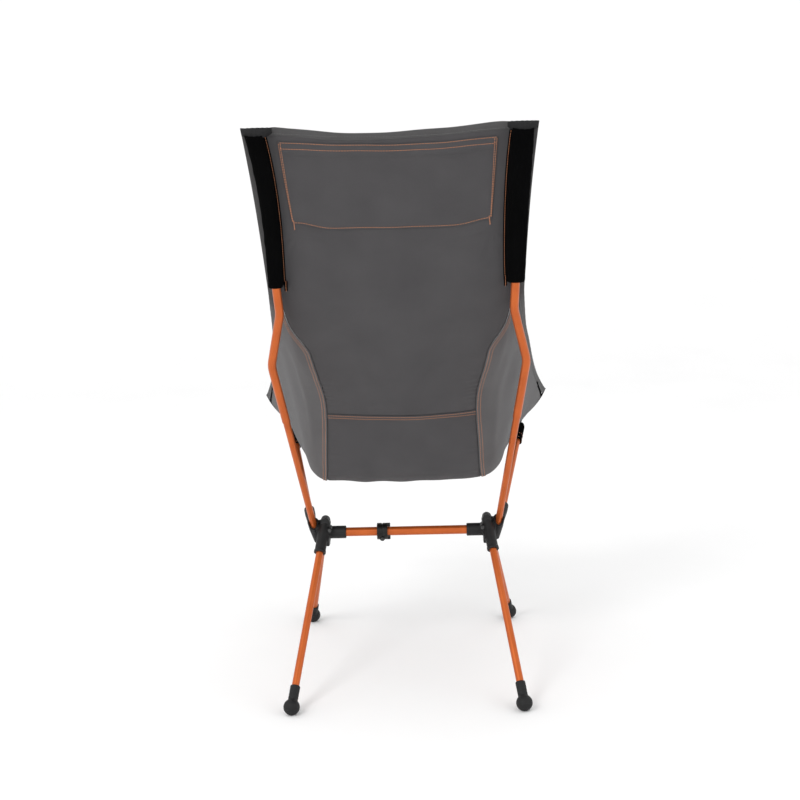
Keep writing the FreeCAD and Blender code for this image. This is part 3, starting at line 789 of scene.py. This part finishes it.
def side_hem(looks, grey, side, sign):
    stations = np.linspace(TOP + 0.03, FRONT, 330)
    inner = hem_column(stations, HEM)
    across, deep = superellipse(22, 3.4)
    middle = (inner + EDGE) / 2
    half = (EDGE - inner) / 2
    c = middle[:, None] + half[:, None] * across
    s = np.repeat(stations[:, None], len(across), axis=1)
    # the folded tape is pressed thin along its row of stitches
    row = np.clip((c - middle[:, None]) / half[:, None], -1, 1)
    press = 1 - 0.35 * soft_peak(row, -0.55, 0.14)
    ripple = 1 + 0.12 * wave(s * STATION_RUN, 0.021, 1.0)
    rings = on_cloth(s, sign * c, deep * press * ripple * HEM_THICK / 2)
    piece = loop_tube("side_hem_tape_" + side, rings, looks["hem_fabric"])
    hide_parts("side_hem_" + side)
    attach(piece, ROOT)
    run = np.linspace(TOP + 0.15, FRONT - 0.15, 700)
    line = hem_column(run, HEM - 2.7 * MM)
    grey.on_cloth(run, sign * line, HEM_THICK / 2 * 0.62)
    return piece


def cross_hem(name, looks, look, node, low, high, thickness, ripple, dip=0.0):
    """Folded hem across the full width, between two stations."""
    columns = np.linspace(-EDGE, EDGE, 300)
    across, deep = superellipse(22, 3.2)
    middle = (low + high) / 2
    half = (high - low) / 2
    sway = ripple * (0.5 * wave(columns, 0.83, 0.6) + 0.5 * wave(columns, 2.1, 1.9))
    sag = dip * soft_peak(columns, 0.38, 0.42)
    # the whole hem sags, and its upper edge sways as well
    shift = np.where(across < 0, (sway + sag)[:, None], sag[:, None])
    s = np.clip(middle + half * across + shift, TOP - 0.02, FRONT + 0.02)
    c = np.repeat(columns[:, None], len(across), axis=1)
    press = 1 - 0.3 * soft_peak(across, 0.5, 0.16)
    rings = on_cloth(s, c, deep * press[None, :] * thickness / 2)
    piece = loop_tube(name, rings, looks[look])
    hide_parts(node)
    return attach(piece, ROOT)


def top_hem(looks, grey):
    thickness = 3.4 * MM
    piece = cross_hem("top_hem_tape", looks, "hem_fabric", "top_hem",
                      TOP - 0.01, TOP + 0.085, thickness, 0.006, 0.03)
    grey.on_cloth(TOP + 0.062, np.linspace(-1.7, 1.7, 400), thickness / 2 * 0.72)
    return piece


def front_hem(looks, grey):
    thickness = 3.0 * MM
    piece = cross_hem("front_hem_tape", looks, "black_webbing", "front_hem",
                      FRONT - 0.14, FRONT, thickness, 0.003)
    grey.on_cloth(FRONT - 0.035, np.linspace(-2.8, 2.8, 500), thickness / 2 * 0.9)
    return piece


# -------------------- head pocket

POCKET_TOP, POCKET_LOW = 0.155, 1.27
POCKET_HALF, POCKET_TAPER = 1.15, 0.13
LEFT_EXTRA, LEFT_TAPER = 0.126, 0.083


def pocket_reach(s, sign):
    """Half width of the head pocket in columns; it narrows downwards and is cut wider on the left."""
    share = (s - POCKET_TOP) / (POCKET_LOW - POCKET_TOP)
    return POCKET_HALF - POCKET_TAPER * share + (LEFT_EXTRA - LEFT_TAPER * share) * (np.asarray(sign) > 0)


def pocket_low(c):
    """Station of the pocket's lower edge; it sweeps up towards both corners."""
    return POCKET_LOW - 0.07 * smooth_step(np.abs(c), 0.55, 0.98)


def pocket_rise(across, down):
    """Slack of the pocket over the panel: a soft roll under its top edge, then its flat."""
    held = smooth_step(1 - np.abs(across), 0.0, 0.09)
    roll = 3.4 * MM * soft_peak(down, 0.1, 0.045)
    slack = 1.4 * MM * np.sin(np.pi * np.clip((down - 0.12) / 0.88, 0, 1)) ** 1.2
    return (roll + slack * (1 + 0.35 * wave(across, 1.13, 0.5))) * held


def sew_pocket(orange, s, share, lift):
    """Stitches on the pocket's face, share being the place between its middle and its sides."""
    c = share * pocket_reach(s, share)
    down = (s - POCKET_TOP) / (pocket_low(c) - POCKET_TOP)
    orange.on_cloth(s, c, lift + pocket_rise(share, np.clip(down, 0, 1)))


def head_pocket(looks, orange):
    share_down = np.linspace(0, 1, 80)
    share_across = np.linspace(-1, 1, 121)
    across, down = np.meshgrid(share_across, share_down)
    c = across * pocket_reach(POCKET_TOP + (POCKET_LOW - POCKET_TOP) * down, across)
    s = POCKET_TOP + (pocket_low(c) - POCKET_TOP) * down
    lift = CLOTH + 0.2 * MM + pocket_rise(across, down)
    piece = cloth_sheet("head_pocket_cloth", s, c, looks["seat_fabric"], lift)
    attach(piece, ROOT)
    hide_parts("back_pocket")
    face = 1.5 * CLOTH + 0.3 * MM
    across = np.linspace(-ROW_REACH, ROW_REACH, 320)
    for inset in (0.012, 0.078):
        sew_pocket(orange, np.full(len(across), POCKET_TOP + inset), across, face)
    run = np.linspace(POCKET_TOP + 0.02, POCKET_LOW - 0.1, 220)
    closing = np.linspace(1, 0.4, len(run))
    for sign in (-1, 1):
        sew_pocket(orange, run, sign * np.full(len(run), ROW_REACH), face)
        sew_pocket(orange, run, sign * (1 - 0.055 * closing), face)
        corner = pocket_reach(POCKET_LOW, sign) - 0.03
        zigzag(orange, POCKET_LOW - 0.06, sign * corner, face, 0.022, 0.11)
    hem_row = across * (pocket_reach(POCKET_LOW, across) - 0.035)
    orange.on_cloth(pocket_low(hem_row) - 0.02, hem_row, face + 0.2 * MM)
    return piece, flat_size(s, c)


# -------------------- sleeves and corners

def pole_frame():
    """Axis, across and rearward directions of the left upper back pole."""
    axis = unit(np.array(POLE_HIGH - POLE_LOW))
    across = unit(np.array((1.0, 0, 0)) - axis * axis[0])
    rear = np.cross(across, axis)
    if rear[1] < 0:
        rear = -rear
    return axis, across, rear


def pole_at(height):
    share = (np.asarray(height, float) - POLE_LOW.z) / (POLE_HIGH.z - POLE_LOW.z)
    return np.array(POLE_LOW) + share[..., None] * np.array(POLE_HIGH - POLE_LOW)


def sleeve_share(height):
    """0 at a sleeve's open foot, 1 at its closed top."""
    return np.clip((height - SLEEVE_LOW_Z) / (SLEEVE_HIGH_Z - SLEEVE_LOW_Z), 0, 1)


def sleeve_half_width(height, sign):
    """The left sleeve is drawn tighter round its pole than the right one."""
    share = sleeve_share(height)
    if sign > 0:
        return (12.0 + 2.0 * share) * MM
    return (14.6 + 3.9 * np.sqrt(share) - 2.5 * share ** 8) * MM


def sleeve_bow(height, sign):
    """How far a sleeve's middle line is pulled in towards the panel."""
    share = sleeve_share(height)
    if sign > 0:
        return (5.0 * np.sin(math.pi * share) - 3.7 * share ** 6) * MM
    return 3.0 * MM * np.sin(math.pi * share)


def pole_sleeve(looks, orange, side, sign):
    across_way, rear_way = pole_frame()[1:]
    sides = 40
    around, deep = superellipse(sides, 2.5)
    heights = np.linspace(SLEEVE_HIGH_Z, SLEEVE_LOW_Z, 90)
    width = sleeve_half_width(heights, sign)
    depth = np.full(len(heights), WEBBING_DEPTH)
    # bottom hem: the webbing folds inwards and runs back up beside the pole
    turn_in = np.array([0.97, 0.9, 0.82, 0.78, 0.78])
    turn_up = np.array([-0.8, -0.9, 0.2, 4.0, 16.0]) * MM
    heights = np.concatenate([heights, SLEEVE_LOW_Z + turn_up])
    width = np.concatenate([width, width[-1] * turn_in])
    depth = np.concatenate([depth, WEBBING_DEPTH * (1 - (1 - turn_in) * 0.45)])
    turns = np.arange(sides) * 2 * math.pi / sides
    lobes = np.cos(3 * turns + heights[:, None] * 30)
    ripple = 0.35 * MM * wave(heights, 0.031, 0.5)[:, None] * lobes
    centre = pole_at(heights) - sleeve_bow(heights, sign)[:, None] * across_way
    rings = (centre[:, None, :]
             + ((width[:, None] + ripple) * around)[..., None] * across_way
             + ((depth[:, None] + ripple * 0.5) * deep + 0.1 * MM)[..., None] * rear_way)
    piece = loop_tube("pole_sleeve_webbing_" + side, rings * (sign, 1, 1), looks["black_webbing"],
                      close_end=False)
    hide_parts("pole_sleeve_" + side)
    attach(piece, ROOT)
    return [piece, sleeve_flange(looks, orange, side, sign)]


def sleeve_flange(looks, orange, side, sign):
    """Flat inner edge of the sleeve, sewn to the back panel."""
    stations = np.linspace(0.09, 2.11, 110)
    heights = surface(stations, 1.8)[:, 2]
    pole_x = pole_at(heights)[:, 0] - sleeve_bow(heights, sign)
    reach = sleeve_half_width(heights, sign)
    low = column_at_x(stations, pole_x - reach - 3.6 * MM)
    high = column_at_x(stations, pole_x - reach + 7 * MM)
    s, c = row_grid(stations, low, high, 7)
    if sign < 0:
        s, c = s[:, ::-1], -c[:, ::-1]
    piece = cloth_sheet("sleeve_flange_" + side, s, c, looks["black_webbing"], CLOTH + 0.2 * MM, 1.4 * MM)
    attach(piece, ROOT)
    line = column_at_x(stations, pole_x - reach - 1.3 * MM)
    orange.on_cloth(stations, sign * line, CLOTH + 0.9 * MM)
    return piece


def corner_cap(looks, side, sign):
    """The top hem swells over the closed end of a pole sleeve."""
    half_span, seat_edge, sink = 23 * MM, 222.5 * MM, 0.9 * MM
    station, sides = TOP + 0.03, 26
    share = np.linspace(-1, 1, 60)
    x = pole_at(np.array(SLEEVE_HIGH_Z))[0] + share * half_span
    columns = column_at_x(np.full(len(x), station), np.minimum(x, seat_edge))
    middle = surface(station, columns)
    middle[:, 0] = x
    axis, _, rear_way = pole_frame()
    swell = np.sqrt(np.clip(1 - share ** 2, 0, 1))
    half_depth = (1.9 + 7.6 * swell ** 1.3) * MM
    half_height = (3.6 + 3.2 * swell) * MM
    around, up = superellipse(sides, 2.7)
    turns = np.arange(sides) * 2 * math.pi / sides
    crease = 1 + 0.06 * np.sin(share * 19)[:, None] * np.cos(2 * turns)
    back = around * half_depth[:, None] * crease + (half_depth - sink)[:, None]
    rise = up * half_height[:, None] * crease + (half_height * 0.25)[:, None]
    rings = middle[:, None, :] + back[..., None] * rear_way + rise[..., None] * axis
    # the fold is coloured near black as painted shade, not as a darker cloth
    piece = loop_tube("top_corner_fold_" + side, rings * (sign, 1, 1), looks["painted_shade_corner_fabric"])
    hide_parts("top_corner_cap_" + side)
    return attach(piece, ROOT)


def pull_tab(looks, orange, side):
    """Folded webbing loop at the inner foot of a sleeve, with an orange core thread."""
    low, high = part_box("pull_tab_" + side)
    centre = (low + high) / 2
    length = high.z - low.z
    half_width, thick, count = 2.6 * MM, 0.55 * MM, 40
    turn = np.linspace(0, 2 * math.pi, count, endpoint=False)
    loop_y = centre.y + 2.4 * MM * np.sin(turn)
    loop_z = centre.z + length / 2 * np.cos(turn)
    width = np.linspace(-1, 1, 6)
    path = np.stack([np.zeros(count), loop_y, loop_z], axis=-1)
    out = unit(np.stack([np.zeros(count), np.sin(turn), np.cos(turn) * 0.3], axis=-1))
    section = [(w * half_width, thick) for w in width] + [(w * half_width, -thick) for w in width[::-1]]
    rings = np.array([[path[i] + np.array((centre.x + a, 0, 0)) + out[i] * b for a, b in section]
                      for i in list(range(count)) + [0]])
    piece = loop_tube("pull_tab_webbing_" + side, rings, looks["black_webbing"], False, False)
    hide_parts("pull_tab_" + side)
    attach(piece, ROOT)
    half = count // 2
    back = path[:half + 1] + np.array((centre.x, 0, 0)) + out[:half + 1] * thick
    orange.line(back, out[:half + 1], 2.4 * MM, 1.9 * MM, 0.9 * MM)
    return piece


TIP_START, TIP_LENGTH, TIP_RADIUS = -13.5 * MM, 58 * MM, 8.3 * MM
WEB_START, WEB_LENGTH, WEB_SET = -6 * MM, 48 * MM, 6 * MM


def arm_frame():
    """Backward, across and upward directions of the left seat arm."""
    axis = unit(np.array(ARM_MOUTH - ARM_TIP))
    across = unit(np.cross(axis, (0, 0, 1.0)))
    return axis, across, np.cross(across, axis)


def pocket_web(looks, side, sign):
    """Folded webbing that joins a tip pocket to the underside of the seat."""
    axis, across_way, up_way = arm_frame()
    flip = np.array((sign, 1, 1))
    share = np.linspace(0, 1, 30)
    low = (np.array(ARM_TIP) + (WEB_START + WEB_LENGTH * share)[:, None] * axis + WEB_SET * up_way) * flip
    high = on_cloth(FRONT - 0.15 - 0.7 * share, sign * 2.0, 0.2 * MM)
    rise = np.linspace(0, 1, 12)
    grid = low[:, None, :] + (high - low)[:, None, :] * rise[:, None]
    grid = grid + (1.2 * MM * np.sin(math.pi * rise))[:, None] * across_way * flip
    half = 0.8 * MM * across_way * flip
    piece = shell("tip_pocket_web_" + side, grid + half, grid - half, looks["black_webbing"])
    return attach(piece, ROOT)


def tip_pocket(looks, orange, side, sign):
    """Sewn pocket that the end of a seat arm pushes into, under the front corner."""
    axis, across_way, up_way = arm_frame()
    share = np.linspace(0, 1, 40)
    reach = TIP_START + TIP_LENGTH * share
    nose = np.sqrt(np.clip(1 - (1 - np.clip(share / 0.22, 0, 1)) ** 2, 0.02, 1))
    radius = TIP_RADIUS * nose + 0.5 * MM * smooth_step(share, 0.9, 1.0)
    around, up = superellipse(30, 2.5)
    centre = np.array(ARM_TIP) + reach[:, None] * axis
    rings = (centre[:, None, :] + (radius[:, None] * 1.06 * around)[..., None] * across_way
             + (radius[:, None] * up)[..., None] * up_way)
    rings = np.concatenate([rings, centre[-1] + (rings[-1:] - centre[-1]) * 0.8])
    piece = loop_tube("tip_pocket_webbing_" + side, rings * (sign, 1, 1), looks["black_webbing"], True, False)
    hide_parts("tip_pocket_" + side)
    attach(piece, ROOT)
    turn = np.linspace(0, 2 * math.pi, 90)[:, None]
    size = TIP_RADIUS + 0.2 * MM
    around = size * 1.05 * np.cos(turn) * across_way + size * np.sin(turn) * up_way
    for row in (0.72, 0.93):
        spot = np.array(ARM_TIP) + (TIP_START + TIP_LENGTH * row) * axis
        orange.line((spot + around) * (sign, 1, 1), unit(around) * (sign, 1, 1))
    return piece


# -------------------- hard parts

def softened(name, nodes, look, body, voxel, rounds):
    """Moulded piece: the CAD shapes with their edges rounded off as a mould rounds them."""
    work = bmesh.new()
    for node in nodes:
        work.from_mesh(frame["nodes"][node].data)
    bmesh.ops.remove_doubles(work, verts=work.verts, dist=1e-6)
    rough = bpy.data.meshes.new(name + "_rough")
    work.to_mesh(rough)
    work.free()
    holder = add_object(name + "_rough", rough)
    remesh = holder.modifiers.new("remesh", "REMESH")
    remesh.mode = "VOXEL"
    remesh.voxel_size = voxel
    relax = holder.modifiers.new("relax", "SMOOTH")
    relax.factor = 0.5
    relax.iterations = rounds
    evaluated = holder.evaluated_get(bpy.context.evaluated_depsgraph_get())
    mesh = bpy.data.meshes.new_from_object(evaluated)
    bpy.data.objects.remove(holder)
    mesh.name = name
    mesh.polygons.foreach_set("use_smooth", [True] * len(mesh.polygons))
    mesh.materials.clear()
    mesh.materials.append(look)
    piece = add_object(name, mesh)
    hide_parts(*nodes)
    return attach(piece, body)


def foot(looks, place, side, sign):
    """Rubber foot turned about the leg's line, its sole worn flat on the floor."""
    centre = FEET[place]
    axis = np.array((HUB_TOP - centre).normalized())
    across_way = unit(np.cross(axis, (0, 1.0, 0)))
    other_way = np.cross(axis, across_way)
    ball, neck, rise, bore = 14.0, 8.5, 38.0, 6.6
    profile = []
    # tread rings round the lower half of the ball
    for polar in np.linspace(math.pi, 0.78, 70):
        tread = 0.28 * max(0.0, math.sin(polar * 26)) * (polar > 1.9)
        profile.append((ball * math.cos(polar), max((ball - tread) * math.sin(polar), 0.02)))
    shoulder = profile[-1]
    for turn in np.linspace(0.2, 1, 7):
        profile.append((shoulder[0] + 2.6 * turn, neck + (shoulder[1] - neck) * (1 - turn) ** 1.8))
    start = profile[-1][0]
    for along in np.linspace(start + 1.0, rise - 1.2, 26):
        ring = 0.35 if (along - start) % 6.2 < 1.3 and along < rise - 7 else 0.0
        profile.append((along, neck - ring))
    profile += [(rise - 0.5, neck - 0.25), (rise, neck - 0.9),
                (rise, bore + 0.4), (rise - 1, bore), (rise - 8, bore)]
    profile = np.array(profile) * MM
    turns = np.arange(56) * 2 * math.pi / 56
    ring = np.cos(turns)[:, None] * across_way + np.sin(turns)[:, None] * other_way
    rings = np.array(centre) + profile[:, :1, None] * axis + profile[:, 1:2, None] * ring
    rings[..., 2] = np.maximum(rings[..., 2], 0.0)
    name = place + "_foot_" + side
    piece = loop_tube("rubber_" + name, rings * (sign, 1, 1), looks["foot_rubber"], True, False)
    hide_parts(name)
    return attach(piece, place + "_leg_" + side + "_body")


def dress_cad_nodes(looks):
    for part in frame["record"]["subparts"]:
        mesh = frame["nodes"][part["node"]].data
        mesh.materials.clear()
        mesh.materials.append(looks[part["material_slot"]])


# -------------------- assembly


def make_seat(looks):
    orange = Sewing("orange_stitching", looks["orange_thread"])
    grey = Sewing("grey_stitching", looks["grey_thread"])
    back, back_size = back_panel(looks)
    seat, seat_size = seat_panel(looks, orange)
    pocket, pocket_size = head_pocket(looks, orange)
    upper_trims = [top_hem(looks, grey)]
    lower_trims = [front_hem(looks, grey)]
    for side, sign in SIDES:
        piece, size = gusset(looks, orange, side, sign)
        gusset_trims = [gusset_binding(looks, side, sign), side_hem(looks, grey, side, sign)]
        upper_trims += pole_sleeve(looks, orange, side, sign)
        upper_trims += [corner_cap(looks, side, sign), pull_tab(looks, orange, side)]
        lower_trims += [tip_pocket(looks, orange, side, sign), pocket_web(looks, side, sign)]
    upper_trims += [orange.finish(), grey.finish()]


def make_hard_parts(looks):
    for side, sign in SIDES:
        softened("moulded_hub_" + side, ["hub_" + side], looks["hub_nylon"], ROOT, 0.8 * MM, 5)
        for place in FEET:
            foot(looks, place, side, sign)
    for half in ("rear", "front"):
        node = "clip_" + half + "_half"
        softened("moulded_" + node, [node], looks["clip_nylon"], "clip", 0.45 * MM, 5)


make_camera()
LOOKS = make_looks()
make_stage(LOOKS["stage"])
make_lights()
dress_cad_nodes(LOOKS)
make_seat(LOOKS)
make_hard_parts(LOOKS)
